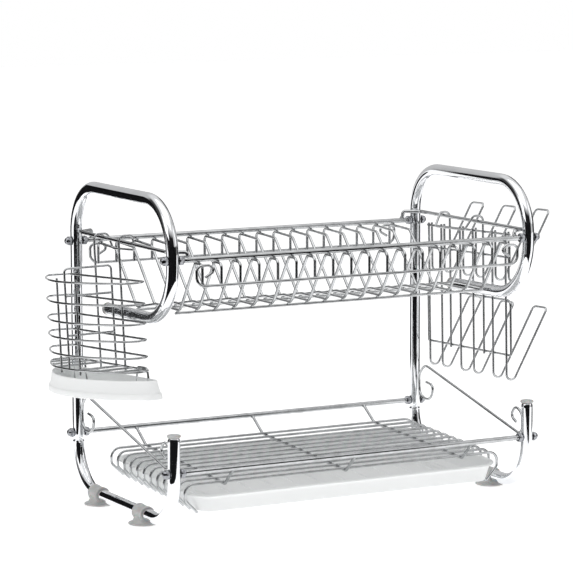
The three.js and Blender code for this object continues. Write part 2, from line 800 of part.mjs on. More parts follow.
for (const [side, label] of [
  [-1, 'left'],
  [1, 'right'],
]) {
  const x = side * SIDE_X;
  const droop = Math.atan(ARM_DROOP / (ARM_END_Y + SIDE_Y));
  add(`${label}_upper_tube`, upperTube(x), chrome);
  add(`${label}_lower_tube`, lowerTube(x), chrome);
  add(
    `${label}_arm_cap`,
    tubeCap(TUBE_RADIUS + 0.2, [x, ARM_END_Y, ARM_Z - ARM_DROOP], [-Math.PI / 2 - droop, 0, 0]),
    foot,
  );
  add(`${label}_stub_cap`, tubeCap(TUBE_RADIUS + 0.7, [x, -SIDE_Y, STUB_TOP_Z], [0, 0, 0]), foot);
  add(`${label}_front_foot`, footPad(x, -43), foot);
  add(`${label}_rear_foot`, footPad(x, 65), foot);
  add(`${label}_side_guard`, sideGuard(x), wire);
  for (const [corner, y, z] of [
    ['front_upper', -SIDE_Y, UPPER_FRONT_Z],
    ['rear_upper', SIDE_Y, UPPER_REAR_Z],
    ['front_lower', -SIDE_Y, LOWER_FRONT_Z],
    ['rear_lower', SIDE_Y, LOWER_REAR_Z],
  ]) {
    const inside = SIDE_X - TUBE_RADIUS - CLEARANCE - NUT_THICKNESS / 2;
    add(`${label}_${corner}_nut`, hexNut(side * inside, y, z), zinc);
    add(`${label}_${corner}_cap_nut`, capNut(side, y, z), zinc);
  }
}

add('upper_frame', upperFrame(), wire);
add('front_scroll_wire', scrollWire(-PLATE_FRONT_Y - WIRE_GAP, SCROLL_FRONT_Z), wire);
add('rear_scroll_wire', scrollWire(PLATE_FRONT_Y + WIRE_GAP, SCROLL_REAR_Z), wire);
add('front_trough_wire', troughWire(TROUGH_FRONT), wire);
add('rear_trough_wire', troughWire(TROUGH_REAR), wire);
for (let i = 0; i < PLATE_WIRES; i++) {
  const number = String(i + 1).padStart(2, '0');
  add(`plate_wire_${number}`, plateWire((i - (PLATE_WIRES - 1) / 2) * PLATE_PITCH), wire);
}
add('lower_shelf', lowerShelf(), wire);

const basket = new THREE.Group();
basket.position.set(-SIDE_X, BASKET_Y, END_BAR_Z);
basket.rotation.set(BASKET_LEAN, BASKET_ROLL, 0);
add('cutlery_basket', cutleryBasket(), wire, basket);
add('cutlery_drip_cup', dripCup(), milky, basket);
rack.add(basket);

const glasses = new THREE.Group();
glasses.position.set(SIDE_X, GLASS_Y, END_BAR_Z);
glasses.rotation.x = GLASS_LEAN;
add('glass_holder', glassHolder(), wire, glasses);
rack.add(glasses);

const tray = new THREE.Group();
tray.position.set(0, 0, grilleZ(0) - TRAY_FLOOR_DROP);
tray.rotation.x = Math.atan(DRAIN_SLOPE);
add('drip_tray', dripTray(), milky, tray);
rack.add(tray);

export default rack;
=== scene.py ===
"""Finished looks of a two-tier chrome dish drying rack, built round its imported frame."""

import math

import bpy
import numpy as np
from bpy.props import FloatProperty, FloatVectorProperty, PointerProperty
from mathutils import Matrix, Vector


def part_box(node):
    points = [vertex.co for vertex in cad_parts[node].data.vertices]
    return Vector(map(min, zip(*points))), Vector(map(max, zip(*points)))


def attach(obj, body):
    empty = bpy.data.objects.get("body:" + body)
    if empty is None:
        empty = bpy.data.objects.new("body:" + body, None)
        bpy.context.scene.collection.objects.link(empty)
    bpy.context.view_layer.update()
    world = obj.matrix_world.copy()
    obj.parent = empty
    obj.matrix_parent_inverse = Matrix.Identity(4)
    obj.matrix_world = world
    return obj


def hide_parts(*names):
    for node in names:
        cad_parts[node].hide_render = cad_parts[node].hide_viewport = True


bl_info = {
    "name": "Dish Drying Rack",
    "version": (1, 0, 0),
    "blender": (4, 5, 0),
    "location": "3D View > Sidebar > Dish Rack",
    "description": "Builds the tubes, wires and plastic pieces of a dish drying rack",
    "category": "Object",
}

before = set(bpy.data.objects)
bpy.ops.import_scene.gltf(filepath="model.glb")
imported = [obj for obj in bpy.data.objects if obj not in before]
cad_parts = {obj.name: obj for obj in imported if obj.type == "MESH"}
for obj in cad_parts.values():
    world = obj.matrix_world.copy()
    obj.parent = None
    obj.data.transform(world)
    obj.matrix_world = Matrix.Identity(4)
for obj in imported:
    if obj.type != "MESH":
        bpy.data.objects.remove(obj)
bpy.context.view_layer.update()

MM = 0.001
SIDES = (("left", -1), ("right", 1))

# Side frames, in millimetres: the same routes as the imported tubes.
SIDE_X = 206.5
SIDE_Y = 115
TOP_Z = 331.5
ARM_Z = 213
ARM_END_Y = 36
ARM_DROOP = 3.5
JOINT_Z = 61.5
FLOOR_BAR_Z = 11
STUB_TOP_Z = 100
REAR_BEND = 50
FRONT_BEND = 54
ARM_BEND = 58.5
LOWER_REAR_BEND = 48
LOWER_FRONT_BEND = 45
CAP_RUN = 91  # the arm droops by ARM_DROOP over this length
NECK_RADIUS = 5

# Rails and shelves.
UPPER_FRONT_Z = 275
UPPER_REAR_Z = 272
LOWER_FRONT_Z = 63.5
LOWER_REAR_Z = 68.5
RAIL_END_X = 194
END_BAR_Z = 282.3
PLATE_WIRES = 18
PLATE_PITCH = 20.93
PLATE_FRONT_Y = 123
SCROLL_FRONT_Z = 249.5
SCROLL_REAR_Z = 245.8
TROUGH_FRONT = (-67, 219)
TROUGH_REAR = (24, 211.5)
GRILLE_WIRES = 12
GRILLE_FRONT_Y = -92.5
GRILLE_REAR_Y = 82
GRILLE_HALF = 184
BEARERS = (-139.7, 0, 139.7)
BEARER_FRONT = (-94, 43.5)
BEARER_REAR = (90, 51.9)
DRAIN_SLOPE = (BEARER_REAR[1] - BEARER_FRONT[1]) / (BEARER_REAR[0] - BEARER_FRONT[0])
GAP = 0.3  # between pieces that touch
WELD = 0.6  # how far welded wires sink into each other

# Cutlery basket and drip cup, modelled level about the bar they hang on; they lean and roll about it.
BASKET_LEAN = math.radians(3.9)
BASKET_ROLL = math.radians(1)
BASKET_FRAME = (Matrix.Translation((-SIDE_X, 18, END_BAR_Z)) @ Matrix.Rotation(-BASKET_LEAN, 4, "X")
                @ Matrix.Rotation(-BASKET_ROLL, 4, "Y"))
BASKET_DROPS = (-37.6, -59.2, -78.7, -95.1, -111.9, -125.7)
BASKET_FOOT = -131
BASKET_FACE = -11.8
BASKET_HALF = 124
BASKET_BULGE = 51.7
BASKET_CORNER = 14
BASKET_POSTS = (-29, 13)
DIVIDER_Y = -8
ARCH_Y = 76  # feet, either side of the middle
ARCH_HALF = 16
HOOK_SPREAD = 30
CUP_TOP = -133.5
CUP_HEIGHT = 19
CUP_SHIFT = -4  # towards the front
CUP_CORNER = 12

# Glass holder, modelled level about its own bar.
GLASS_LEAN = math.radians(1.8)
GLASS_FRAME = Matrix.Translation((SIDE_X, 21.5, END_BAR_Z)) @ Matrix.Rotation(-GLASS_LEAN, 4, "X")
GLASS_HOOK_SPREAD = 34
GLASS_BACK = 8.5
GLASS_HALF = 84.5
GLASS_TOP = -13
PRONG_PITCH = 65.4
PRONG_WIDTH = 26.3
PRONG_RISE = 74
PRONG_TURN = 6
PRONG_LEAN = math.radians(30)
LOWER_TIER = -169.3
UPPER_TIER = -64.3
UPPER_CROSS = -37.5
PANEL_TOP = -83.5
PANEL_FOOT = -142.5

# Drip tray, on the drain slope.
TRAY_FRONT_Y = -108
TRAY_REAR_Y = 92
TRAY_HEIGHT = 18.5
TRAY_BASE_HALF = 169.5
TRAY_RIM_HALF = 181
TRAY_CORNER = 25
TRAY_FLOOR_DROP = 27.6  # below the grille wires
TRAY_LEDGE = 3.6  # width of the rim's ledge


# ---------------------------------------------------------------- settings

def length(name, description, default):
    return FloatProperty(name=name, description=description, default=default * MM, min=0.0005, max=0.02,
                         unit="LENGTH", precision=5)


def colour(name, description, default):
    return FloatVectorProperty(name=name, description=description, default=default, subtype="COLOR",
                               size=3, min=0, max=1)


class RackSizes(bpy.types.PropertyGroup):
    """Thicknesses that a user would change."""
    tube: length("Tube radius", "Outside radius of the side frames", 6.35)
    rail: length("Rail radius", "Radius of the four long rails", 2.8)
    end_bar: length("End bar radius", "Radius of the bars that the hangers hook on", 2.0)
    plate_wire: length("Plate wire radius", "Radius of the upper shelf's wires", 1.5)
    bearer: length("Bearer radius", "Radius of the three wires under the grille", 1.6)
    grille_wire: length("Grille wire radius", "Radius of the lower shelf's wires", 1.4)
    basket_wire: length("Basket wire radius", "Radius of the cutlery basket's wires", 1.2)
    glass_wire: length("Glass holder wire radius", "Radius of the glass holder's wires", 1.3)
    guard_wire: length("Guard wire radius", "Radius of the side guards", 1.5)


class RackFinishes(bpy.types.PropertyGroup):
    """Colours of the finishes."""
    tube: colour("Tube chrome", "Mirror chrome of the side frames", (0.86, 0.87, 0.89))
    wire: colour("Wire chrome", "Chrome of the wires", (0.56, 0.57, 0.58))
    nut: colour("Nut", "Plated nuts and studs", (0.14, 0.14, 0.145))
    milky: colour("Milky plastic", "Drip tray and drip cup", (0.90, 0.915, 0.92))
    foot: colour("Foot plastic", "Feet and tube caps", (0.52, 0.525, 0.52))
    floor: colour("Floor", "The pale floor", (0.92, 0.92, 0.92))
    card: colour("Studio card", "Black cards that only reflections see", (0.012, 0.012, 0.013))


# ---------------------------------------------------------------- surfaces

def unit(v):
    return v / np.linalg.norm(v, axis=-1, keepdims=True)


def rounded(corners, step=8.0):
    """Centreline through corner points (x, y, z, bend radius): straight runs joined by arcs that are
    tangent to both, each arc split into equal turns of at most `step` degrees."""
    points = np.array([c[:3] for c in corners], float)
    runs = [points[:1]]
    for i in range(1, len(points) - 1):
        back = unit(points[i - 1] - points[i])
        ahead = unit(points[i + 1] - points[i])
        turn = math.pi - math.acos(float(np.clip(back @ ahead, -1, 1)))
        radius = corners[i][3]
        middle = unit(back + ahead)
        centre = points[i] + middle * radius / math.cos(turn / 2)
        count = max(2, math.ceil(math.degrees(turn) / step))
        angle = np.linspace(-turn / 2, turn / 2, count + 1)[:, None]
        runs.append(centre + radius * (np.sin(angle) * unit(ahead - back) - np.cos(angle) * middle))
    runs.append(points[-1:])
    return np.concatenate(runs)


def quads(rows, columns, closed):
    """Faces of a grid whose columns wrap round; its rows wrap too where `closed`."""
    i, j = np.meshgrid(np.arange(rows if closed else rows - 1), np.arange(columns), indexing="ij")
    below, right = (i + 1) % rows, (j + 1) % columns
    return np.stack([i * columns + j, i * columns + right, below * columns + right, below * columns + j],
                    axis=-1).reshape(-1, 4)


def tube_grid(rings, closed=False):
    """Closed surface through rings of points (rows x columns x 3): the columns wrap round, and each end
    is shut by a fan to the middle of its ring unless the rows wrap as well."""
    rows, columns = rings.shape[:2]
    points = rings.reshape(-1, 3)
    faces = [quads(rows, columns, closed)]
    if not closed:
        points = np.concatenate([points, rings[0].mean(0)[None], rings[-1].mean(0)[None]])
        j = np.arange(columns)
        k = (j + 1) % columns
        first, last = rows * columns, (rows - 1) * columns
        faces.append(np.stack([np.full(columns, first), k, j], axis=-1))
        faces.append(np.stack([np.full(columns, first + 1), last + j, last + k], axis=-1))
    return points, faces


def eased(path, margin):
    """The same path with a station `margin` inside each end of every run longer than three margins, so
    that the shading of a bend or a bevel doesn't spread along the straight run beside it."""
    stations = [path[0]]
    for a, b in zip(path[:-1], path[1:]):
        length = np.linalg.norm(b - a)
        if length > 3 * margin:
            stations += [a + (b - a) * margin / length, b - (b - a) * margin / length]
        stations.append(b)
    return np.array(stations)


def round_bar(path, radius, sides=12, closed=False):
    """Wire along a path: at each station a circle of the wire's radius, square to the path. The circle
    starts at one fixed direction, the one that lies farthest from every tangent. Each open end has a
    short bevel, where the circle shrinks to 0.6 of its radius over 0.35 of a radius."""
    if closed:
        path = eased(np.concatenate([path, path[:1]]), 0.8 * radius)[:-1]
        tangent = unit(unit(np.roll(path, -1, 0) - path) + unit(path - np.roll(path, 1, 0)))
        scale = np.ones(len(path))
    else:
        path = eased(path, 0.8 * radius)
        lead, tail = unit(path[1] - path[0]), unit(path[-1] - path[-2])
        bevel = np.array([0, 0.12, 0.35])[:, None] * radius
        path = np.concatenate([path[0] + lead * bevel, path[1:-1], path[-1] - tail * bevel[::-1]])
        step = unit(np.diff(path, axis=0))
        tangent = unit(np.concatenate([step[:1], step[:-1] + step[1:], step[-1:]]))
        scale = np.ones(len(path))
        scale[[0, -1]] = 0.6
        scale[[1, -2]] = 0.87
    golden = np.arange(80) + 0.5
    height = 1 - golden / 40
    spread = np.sqrt(1 - height**2)
    turn = golden * math.pi * (3 - math.sqrt(5))
    ways = np.stack([spread * np.cos(turn), spread * np.sin(turn), height], axis=-1)
    steady = ways[np.abs(ways @ tangent.T).max(1).argmin()]
    side = unit(steady - (tangent @ steady)[:, None] * tangent)
    up = np.cross(tangent, side)
    angle = np.arange(sides) * 2 * math.pi / sides
    circle = np.cos(angle)[:, None] * side[:, None] + np.sin(angle)[:, None] * up[:, None]
    return tube_grid(path[:, None] + (radius * scale)[:, None, None] * circle, closed)


def bar(corners, radius, sides=12, step=8.0):
    return round_bar(rounded(corners, step), radius, sides)


def straight(start, end, radius, sides=12):
    return round_bar(np.array([start, end], float), radius, sides)


def turned(profile, at, axis, sides=40, across_flats=None):
    """Turned piece: a profile of (radius, height) spun about an axis through `at`. With a width across
    flats, the radius at each angle is the lesser of the profile's and the hexagon's."""
    radius, height = np.array(profile, float).T
    axis = unit(np.array(axis, float))
    first = unit(np.cross(axis, (0.0, 1.0, 0.0) if abs(axis[1]) < 0.9 else (1.0, 0.0, 0.0)))
    second = np.cross(axis, first)
    angle = np.arange(sides) * 2 * math.pi / sides
    spokes = np.cos(angle)[:, None] * first + np.sin(angle)[:, None] * second
    reach = np.repeat(radius[:, None], sides, axis=1)
    if across_flats:
        sixth = math.pi / 3
        reach = np.minimum(reach, across_flats / 2 / np.cos((angle + sixth / 2) % sixth - sixth / 2))
    rings = np.array(at, float) + height[:, None, None] * axis + reach[:, :, None] * spokes
    return tube_grid(rings)


def bead(at, radius, flat=0.75):
    """Weld bead: an ellipsoid, flattened in height, on a coarse grid."""
    around = np.arange(8) * math.pi / 4
    polar = np.linspace(-1.25, 1.25, 5)
    ring = np.stack([np.cos(around), np.sin(around), np.zeros(8)], axis=-1)
    rings = np.cos(polar)[:, None, None] * ring + np.sin(polar)[:, None, None] * np.array([0, 0, flat])
    return tube_grid(np.array(at, float) + radius * rings)


def moved(shell, matrix):
    points, faces = shell
    m = np.array(matrix)
    return points @ m[:3, :3].T + m[:3, 3], faces


def piece(name, shells, material, body, nodes, sharp=32.0):
    """One object from closed shells in millimetres. It rides on a body and stands for CAD nodes."""
    points, faces, offset = [], [], 0
    for shell_points, shell_faces in shells:
        points.append(shell_points)
        faces.extend((block + offset) for block in shell_faces)
        offset += len(shell_points)
    points = np.concatenate(points) * MM
    sizes = np.concatenate([np.full(len(block), block.shape[1]) for block in faces])
    corners = np.concatenate([block.ravel() for block in faces])
    mesh = bpy.data.meshes.new(name)
    mesh.vertices.add(len(points))
    mesh.vertices.foreach_set("co", points.ravel())
    mesh.loops.add(len(corners))
    mesh.loops.foreach_set("vertex_index", corners)
    mesh.polygons.add(len(sizes))
    mesh.polygons.foreach_set("loop_start", np.concatenate([[0], np.cumsum(sizes)[:-1]]))
    mesh.polygons.foreach_set("loop_total", sizes)
    mesh.update(calc_edges=True)
    mesh.validate()
    mesh.polygons.foreach_set("use_smooth", np.ones(len(mesh.polygons), bool))
    mesh.set_sharp_from_angle(angle=math.radians(sharp))
    mesh.materials.append(material)
    made = bpy.data.objects.new(name, mesh)
    bpy.context.scene.collection.objects.link(made)
    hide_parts(*nodes)
    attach(made, body)
    return made


# ---------------------------------------------------------------- materials

class Field:
    """A number that changes over a surface. Arithmetic on it adds Math nodes."""

    def __init__(self, shader, socket):
        self.shader = shader
        self.socket = socket

    def _math(self, operation, first, second, clamp=False):
        inputs = {0: first, 1: second}
        made = self.shader.node("ShaderNodeMath", {"operation": operation, "use_clamp": clamp}, inputs)
        return Field(self.shader, made.outputs[0])

    def __add__(self, other):
        return self._math("ADD", self, other)

    def __sub__(self, other):
        return self._math("SUBTRACT", self, other)

    def __rsub__(self, other):
        return self._math("SUBTRACT", other, self)

    def __mul__(self, other):
        return self._math("MULTIPLY", self, other)

    def __pow__(self, other):
        return self._math("POWER", self, other)

    __radd__ = __add__
    __rmul__ = __mul__

    def over(self, low, high):
        """0 below `low`, 1 above `high`, and straight in between."""
        return self._math("MULTIPLY", self - low, 1 / (high - low), clamp=True)


class Shader:
    """One material, with the nodes that the finishes share."""

    def __init__(self, name, **constants):
        self.material = bpy.data.materials.new(name)
        self.material.use_nodes = True
        self.tree = self.material.node_tree
        self.surface = self.tree.nodes["Principled BSDF"]
        coordinates = self.node("ShaderNodeTexCoord")
        self.place = coordinates.outputs["Object"]
        for socket, value in constants.items():
            self.surface.inputs[socket.replace("_", " ")].default_value = value

    def node(self, kind, settings=None, inputs=None):
        made = self.tree.nodes.new(kind)
        for name, value in (settings or {}).items():
            setattr(made, name, value)
        for name, value in (inputs or {}).items():
            self.put(made.inputs[name], value)
        return made

    def put(self, socket, value):
        if isinstance(value, Field):
            value = value.socket
        if isinstance(value, bpy.types.NodeSocket):
            self.tree.links.new(value, socket)
        else:
            socket.default_value = value

    def noise(self, scale, detail=2.0, stretch=None):
        """Noise of `scale` lumps to the metre, which a stretch makes longer along an axis."""
        place = self.place
        if stretch:
            place = self.node("ShaderNodeMapping", inputs={"Vector": place, "Scale": stretch}).outputs[0]
        inputs = {"Vector": place, "Scale": scale, "Detail": detail}
        return Field(self, self.node("ShaderNodeTexNoise", inputs=inputs).outputs["Fac"])

    def blend(self, first, second, share):
        """Colour mixed from two colours."""
        made = self.node("ShaderNodeMix", {"data_type": "RGBA"}, {0: share, 6: first, 7: second})
        return made.outputs[2]

    def finish(self, base=None, roughness=None, bump=None, depth=0.0):
        if base is not None:
            self.put(self.surface.inputs["Base Color"], base)
        if roughness is not None:
            self.put(self.surface.inputs["Roughness"], roughness)
        if bump is not None:
            made = self.node("ShaderNodeBump", inputs={"Height": bump, "Strength": 1.0, "Distance": depth})
            self.put(self.surface.inputs["Normal"], made.outputs[0])
        return self.material


def shade(rgb, factor):
    return (*(min(1.0, c * factor) for c in rgb), 1.0)


def once(build):
    """A finish is made the first time it is asked for."""
    made = bpy.data.materials.get(build.__name__)
    return made or build()


def finishes():
    return bpy.context.scene.rack_finishes


def tube_chrome():
    """Mirror plating: faint haze and water marks in the gloss, a trace of ripple from the drawn tube."""
    shader = Shader("tube_chrome", Metallic=1.0, IOR=1.45)
    haze = shader.noise(38, 3).over(0.45, 0.8)
    marks = shader.noise(420, 2).over(0.62, 0.72)
    ripple = shader.noise(60, 1, stretch=(1, 0.25, 0.25))
    base = shader.blend(shade(finishes().tube, 1.0), shade(finishes().tube, 0.9), haze)
    return shader.finish(base, 0.03 + haze * 0.05 + marks * 0.06, ripple, 0.00006)


def wire_chrome():
    """Plated wire: duller than the tube, with a fine drawn grain and darker plating in patches."""
    shader = Shader("wire_chrome", Metallic=1.0, IOR=1.45)
    patches = shader.noise(85, 3).over(0.4, 0.7)
    grain = shader.noise(900, 2)
    base = shader.blend(shade(finishes().wire, 1.06), shade(finishes().wire, 0.8), patches)
    return shader.finish(base, 0.12 + patches * 0.1, grain, 0.00002)


def nut_metal():
    """Dark plated steel, blotchy, with worn and brighter high spots."""
    shader = Shader("nut_metal", Metallic=1.0, IOR=1.45)
    blotches = shader.noise(260, 4).over(0.35, 0.7)
    worn = shader.noise(1400, 2).over(0.6, 0.75)
    dull = shader.blend(shade(finishes().nut, 0.8), shade(finishes().nut, 1.4), blotches)
    base = shader.blend(dull, shade(finishes().nut, 2.0), worn)
    return shader.finish(base, 0.2 + blotches * 0.16, blotches, 0.00003)


def milky_plastic():
    """Translucent moulded plastic: cloudy flow patterns, satin skin, fine texture."""
    shader = Shader("milky_plastic", IOR=1.5, Subsurface_Weight=0.45, Subsurface_Scale=0.006,
                    Specular_IOR_Level=0.5)
    shader.surface.inputs["Subsurface Radius"].default_value = (1.0, 1.0, 1.05)
    cloud = shader.noise(22, 4, stretch=(0.6, 1, 1)).over(0.35, 0.7)
    skin = shader.noise(1500, 2)
    base = shader.blend(shade(finishes().milky, 1.0), shade(finishes().milky, 0.93), cloud)
    return shader.finish(base, 0.24 + cloud * 0.12, skin, 0.00003)


def foot_plastic():
    """Soft grey plastic with a fine moulded grain and slightly darker, dusty hollows."""
    shader = Shader("foot_plastic", IOR=1.48, Subsurface_Weight=0.2, Subsurface_Scale=0.003)
    dust = shader.noise(120, 4).over(0.4, 0.75)
    grain = shader.noise(1800, 2)
    base = shader.blend(shade(finishes().foot, 1.04), shade(finishes().foot, 0.84), dust)
    return shader.finish(base, 0.42 + dust * 0.16, grain, 0.00005)


# ---------------------------------------------------------------- routes

def upper_tube_route(x):
    return [(x, SIDE_Y, JOINT_Z + GAP), (x, SIDE_Y, TOP_Z, REAR_BEND), (x, -SIDE_Y, TOP_Z, FRONT_BEND),
            (x, -SIDE_Y, ARM_Z, ARM_BEND), (x, ARM_END_Y, ARM_Z - ARM_DROOP)]


def lower_tube_route(x):
    return [(x, SIDE_Y, JOINT_Z), (x, SIDE_Y, FLOOR_BAR_Z, LOWER_REAR_BEND),
            (x, -SIDE_Y, FLOOR_BAR_Z, LOWER_FRONT_BEND), (x, -SIDE_Y, STUB_TOP_Z)]


def plate_route(x, under_rail):
    front, rear = UPPER_FRONT_Z - under_rail, UPPER_REAR_Z - under_rail
    return [(x, -PLATE_FRONT_Y, SCROLL_FRONT_Z - 1), (x, -PLATE_FRONT_Y, front, 5), (x, -107.5, front, 5),
            (x, -72.5, TROUGH_FRONT[1], 10), (x, -18, TROUGH_FRONT[1], 20),
            (x, 28.5, TROUGH_REAR[1] - 1, 8), (x, 79.5, rear - 1.5, 6), (x, SIDE_Y, rear, 20),
            (x, PLATE_FRONT_Y, rear, 5), (x, PLATE_FRONT_Y, SCROLL_REAR_Z - 1)]


def scroll_route(y, z):
    left, right = ([(s * 176.5, y, z + 8.5), (s * 166, y, z + 14.5, 3), (s * 172, y, z + 20.5, 6),
                    (s * 186, y, z + 20, 6), (s * 185.5, y, z, 9)] for s in (-1, 1))
    return left + right[::-1]


def end_bar_route(s):
    return [(s * 189, -SIDE_Y, UPPER_FRONT_Z + 1), (s * 190, -113.5, END_BAR_Z, 3),
            (s * SIDE_X, -103.5, END_BAR_Z, 6), (s * SIDE_X, 103.5, END_BAR_Z, 6),
            (s * 190, 113.5, END_BAR_Z, 3), (s * 189, SIDE_Y, UPPER_REAR_Z + 1)]


def grille_z(y, sizes):
    lift = (sizes.bearer + sizes.grille_wire) / MM - WELD
    return BEARER_FRONT[1] + (y - BEARER_FRONT[0]) * DRAIN_SLOPE + lift


def grille_route(y, z):
    left, right = ([(s * 170, y, z - 29.5), (s * GRILLE_HALF, y, z - 15.5, 7), (s * GRILLE_HALF, y, z, 10)]
                   for s in (-1, 1))
    return left + right[::-1]


def guard_route(x):
    return [(x, -95, 76), (x, -84, 81.5, 5), (x, -93, 93.5, 8), (x, -106.6, 87, 10), (x, -106.6, 63, 8),
            (x, -92, 66.8, 4), (x, 93, 111.2, 14), (x, 105.5, 98.5, 14), (x, 104, 73, 12), (x, 80, 73, 12),
            (x, 73.5, 90, 6), (x, 90, 92)]


def bow(face, half, bulge, corner, inset=0.0, arc=48, fillet=10):
    """Half-round plan outline: a flat face along Y and one wide arc that bulges to -X, joined by
    fillets; `inset` moves the whole outline inwards by that distance."""
    radius = (half**2 + bulge**2) / (2 * bulge)
    centre = face - bulge + radius
    corner_x = face - corner
    corner_y = math.sqrt((radius - corner) ** 2 - (corner_x - centre) ** 2)
    touch = math.atan2(corner_y, corner_x - centre)
    turn = np.linspace(0, touch, fillet)
    small = corner - inset
    rear = np.stack([corner_x + small * np.cos(turn), corner_y + small * np.sin(turn)], axis=-1)
    wide = np.linspace(touch, 2 * math.pi - touch, arc + 1)[1:-1]
    large = radius - inset
    back = np.stack([centre + large * np.cos(wide), large * np.sin(wide)], axis=-1)
    return np.concatenate([rear, back, rear[::-1] * (1, -1)])


def bow_x(y):
    """Where the bow of a basket ring lies at a distance y from its middle."""
    radius = (BASKET_HALF**2 + BASKET_BULGE**2) / (2 * BASKET_BULGE)
    return BASKET_FACE - BASKET_BULGE + radius - math.sqrt(radius**2 - y**2)


def raised(outline, z):
    return np.column_stack([outline, np.full(len(outline), z)])


def box_centre(node):
    lo, hi = (np.array(corner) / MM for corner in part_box(node))
    return (lo + hi) / 2, lo, hi


# ---------------------------------------------------------------- pieces

class RackPiece:
    """What every operator of this file shares."""
    bl_options = {"REGISTER", "UNDO"}

    @property
    def sizes(self):
        return bpy.context.scene.rack_sizes


class BuildTubes(RackPiece, bpy.types.Operator):
    """Two bent tubes on each side: an upper loop and a lower J, plugged together at the rear"""
    bl_idname = "rack.tubes"
    bl_label = "Side tubes"

    def execute(self, context):
        radius = self.sizes.tube / MM
        chrome = once(tube_chrome)
        for label, s in SIDES:
            x = s * SIDE_X
            upper = bar(upper_tube_route(x), radius, 40, 4)
            lower = bar(lower_tube_route(x), radius, 40, 4)
            neck = straight((x, SIDE_Y, JOINT_Z - 3), (x, SIDE_Y, JOINT_Z + 18), NECK_RADIUS, 32)
            piece(f"{label}_upper_loop", [upper], chrome, "rack", [f"{label}_upper_tube"])
            piece(f"{label}_lower_bend", [lower, neck], chrome, "rack", [f"{label}_lower_tube"])
        return {"FINISHED"}


class BuildCaps(RackPiece, bpy.types.Operator):
    """Domed plastic plugs in the four open tube ends"""
    bl_idname = "rack.caps"
    bl_label = "Tube caps"

    def execute(self, context):
        plastic = once(foot_plastic)
        droop = math.atan(ARM_DROOP / CAP_RUN)
        along_arm = (0, math.cos(droop), -math.sin(droop))
        for label, s in SIDES:
            for end, at, axis, head in (
                ("arm", (s * SIDE_X, ARM_END_Y, ARM_Z - ARM_DROOP), along_arm, 6.55),
                ("stub", (s * SIDE_X, -SIDE_Y, STUB_TOP_Z), (0, 0, 1), 7.05),
            ):
                lip = np.linspace(0, math.pi / 2, 6)
                edge = [(head - 1.2 + 1.2 * math.cos(a), 1.5 + 1.2 * math.sin(a)) for a in lip]
                profile = [(4.7, -8), (4.7, GAP), (head - 0.2, GAP), (head, GAP + 0.3), *edge,
                           (head * 0.55, 3.1), (0.3, 3.25)]
                piece(f"{label}_{end}_plug", [turned(profile, at, axis, 40)], plastic, "rack",
                      [f"{label}_{end}_cap"])
        return {"FINISHED"}


class BuildFeet(RackPiece, bpy.types.Operator):
    """Moulded feet: a clip round the floor bar on a flared round pad"""
    bl_idname = "rack.feet"
    bl_label = "Feet"

    def execute(self, context):
        plastic = once(foot_plastic)
        for label, s in SIDES:
            for end in ("front", "rear"):
                node = f"{label}_{end}_foot"
                middle = box_centre(node)[0]
                flare = np.linspace(0, 1, 9)
                skirt = [(15.2 - 6.4 * t**0.55, 1.6 + 7.4 * t**1.6) for t in flare]
                pad = turned([(0.3, 0), (14.6, 0), (15.4, 0.5), (15.4, 1.2), *skirt, (8.4, 10), (0.3, 10.4)],
                             (middle[0], middle[1], 0), (0, 0, 1), 48)
                sleeve = [(7.2, -10), (8.0, -10), (8.5, -9.5), (8.5, -8.4), (8.1, -8), (8.1, 8), (8.5, 8.4),
                          (8.5, 9.5), (8.0, 10), (7.2, 10), (6.6, 9.6)]
                clip = turned([(6.6, -9.6), *sleeve], (middle[0], middle[1], FLOOR_BAR_Z), (0, 1, 0), 40)
                piece(f"{node}_moulding", [pad, clip], plastic, "rack", [node])
        return {"FINISHED"}


class BuildNuts(RackPiece, bpy.types.Operator):
    """Hexagon nuts inside the tubes and domed cap nuts outside them"""
    bl_idname = "rack.nuts"
    bl_label = "Nuts"

    def execute(self, context):
        metal = once(nut_metal)
        for label, s in SIDES:
            for corner in ("front_upper", "rear_upper", "front_lower", "rear_lower"):
                node = f"{label}_{corner}_nut"
                middle = box_centre(node)[0]
                half = 2.25
                profile = [(2.6, -half), (4.3, -half), (5.4, -half + 0.7), (5.4, half - 0.7), (4.3, half),
                           (2.6, half)]
                piece(f"{label}_{corner}_hex", [turned(profile, middle, (s, 0, 0), 48, 8.9)], metal, "rack",
                      [node])
                node = f"{label}_{corner}_cap_nut"
                middle, lo, hi = box_centre(node)
                face = lo[0] if s > 0 else hi[0]
                turn = np.linspace(0, math.pi / 2 - 0.05, 8)
                dome = [(4.0 * math.cos(a), 3.2 + 3.5 * math.sin(a)) for a in turn]
                profile = [(2.6, 0), (4.5, 0), (5.4, 0.5), (5.4, 2.4), (4.4, 3.1), *dome]
                shell = turned(profile, (face, middle[1], middle[2]), (s, 0, 0), 48, 8.9)
                piece(f"{label}_{corner}_dome", [shell], metal, "rack", [node])
        return {"FINISHED"}


def rail_shells(y, z, radius):
    """A rail with a stud at each end, whose thread is a ripple of its radius along its length."""
    shells = [straight((-RAIL_END_X, y, z), (RAIL_END_X, y, z), radius, 20)]
    run = np.arange(0, 23, 0.2)
    thread = np.column_stack([2.15 + 0.2 * np.cos(run * 2 * math.pi / 0.8), run])
    for s in (-1, 1):
        shells.append(turned(thread, (s * (RAIL_END_X - 0.5), y, z), (s, 0, 0), 16))
    return shells


